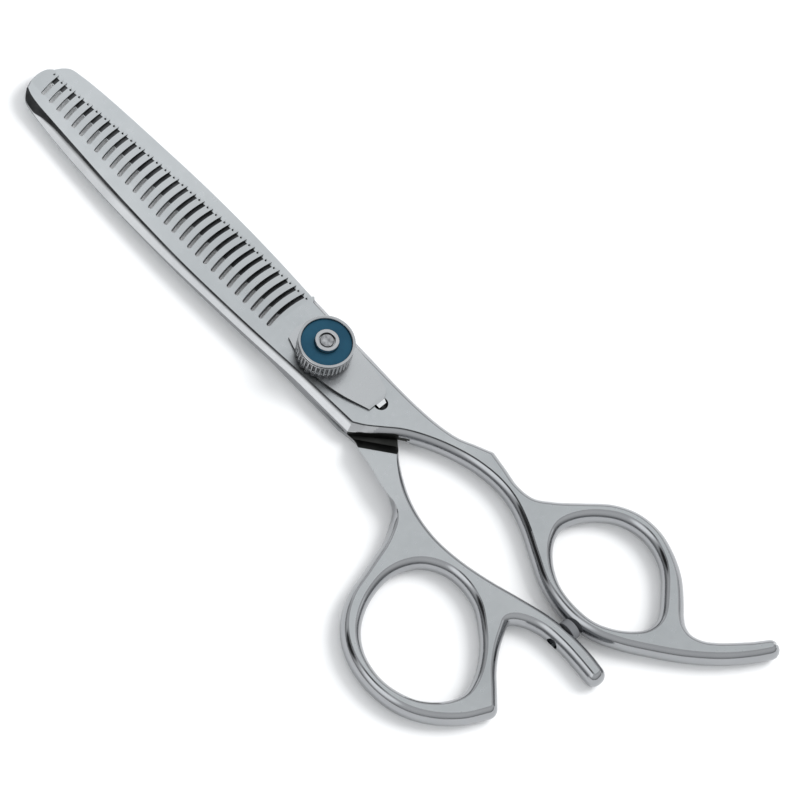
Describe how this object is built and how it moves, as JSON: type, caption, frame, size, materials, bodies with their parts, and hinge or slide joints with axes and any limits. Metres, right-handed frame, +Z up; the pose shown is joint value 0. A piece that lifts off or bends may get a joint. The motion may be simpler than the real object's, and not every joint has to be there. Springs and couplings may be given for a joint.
{
  "type": "thinning shears",
  "caption": "Hairdresser's thinning shears: a toothed blade over a plain blade on a keyed pivot with a knurled tension dial, offset finger rings, a finger rest and a soft stop bumper.",
  "frame": {"origin": "on the pivot axis, on the plane the closed shears lie on, which is the outer face of the pivot screw's head", "axes": "+Z up along the pivot axis towards the tension dial; -X towards the blade tips and +X towards the finger rings; +Y towards the toothed half's ring and the tooth tips"},
  "size_m": [0.1716, 0.0641, 0.0109],
  "materials": {
    "blade_steel": "satin flat faces with polished rounded flanks",
    "screw_steel": "turned",
    "spring_steel": "ground",
    "washer_plastic": "smooth low-friction plastic",
    "washer_steel": "plain",
    "dial_steel": "polished, knurled wall",
    "dial_blue": "dark blue anodised",
    "bumper_plastic": "soft grey plastic"
  },
  "bodies": {
    "toothed": {"toothed_half": "blade_steel", "pivot_screw": "screw_steel", "head_washer": "washer_plastic", "ride_washer": "washer_plastic", "leaf_spring": "spring_steel"},
    "plain": {"plain_half": "blade_steel", "stop_bumper": "bumper_plastic"},
    "carriage": {"thrust_washer": "washer_steel"},
    "dial": {"tension_dial": "dial_steel", "dial_inlay": "dial_blue", "dial_bush": "screw_steel"}
  },
  "joints": [
    {"name": "main_pivot", "type": "hinge", "parent": "toothed", "child": "plain", "pos_m": [0, 0, 0], "axis": [0, 0, -1], "range_deg": [0, 125]},
    {"name": "dial_travel", "type": "slide", "parent": "toothed", "child": "carriage", "axis": [0, 0, 1], "range_m": [0, 0.00035], "deforming": ["leaf_spring"]},
    {"name": "dial_turn", "type": "hinge", "parent": "carriage", "child": "dial", "pos_m": [0, 0, 0], "axis": [0, 0, 1], "range_deg": [0, 180]}
  ],
  "couplings": [
    {"joint": "dial_turn", "follows": "dial_travel", "rad_per_m": 8975.9}
  ]
}
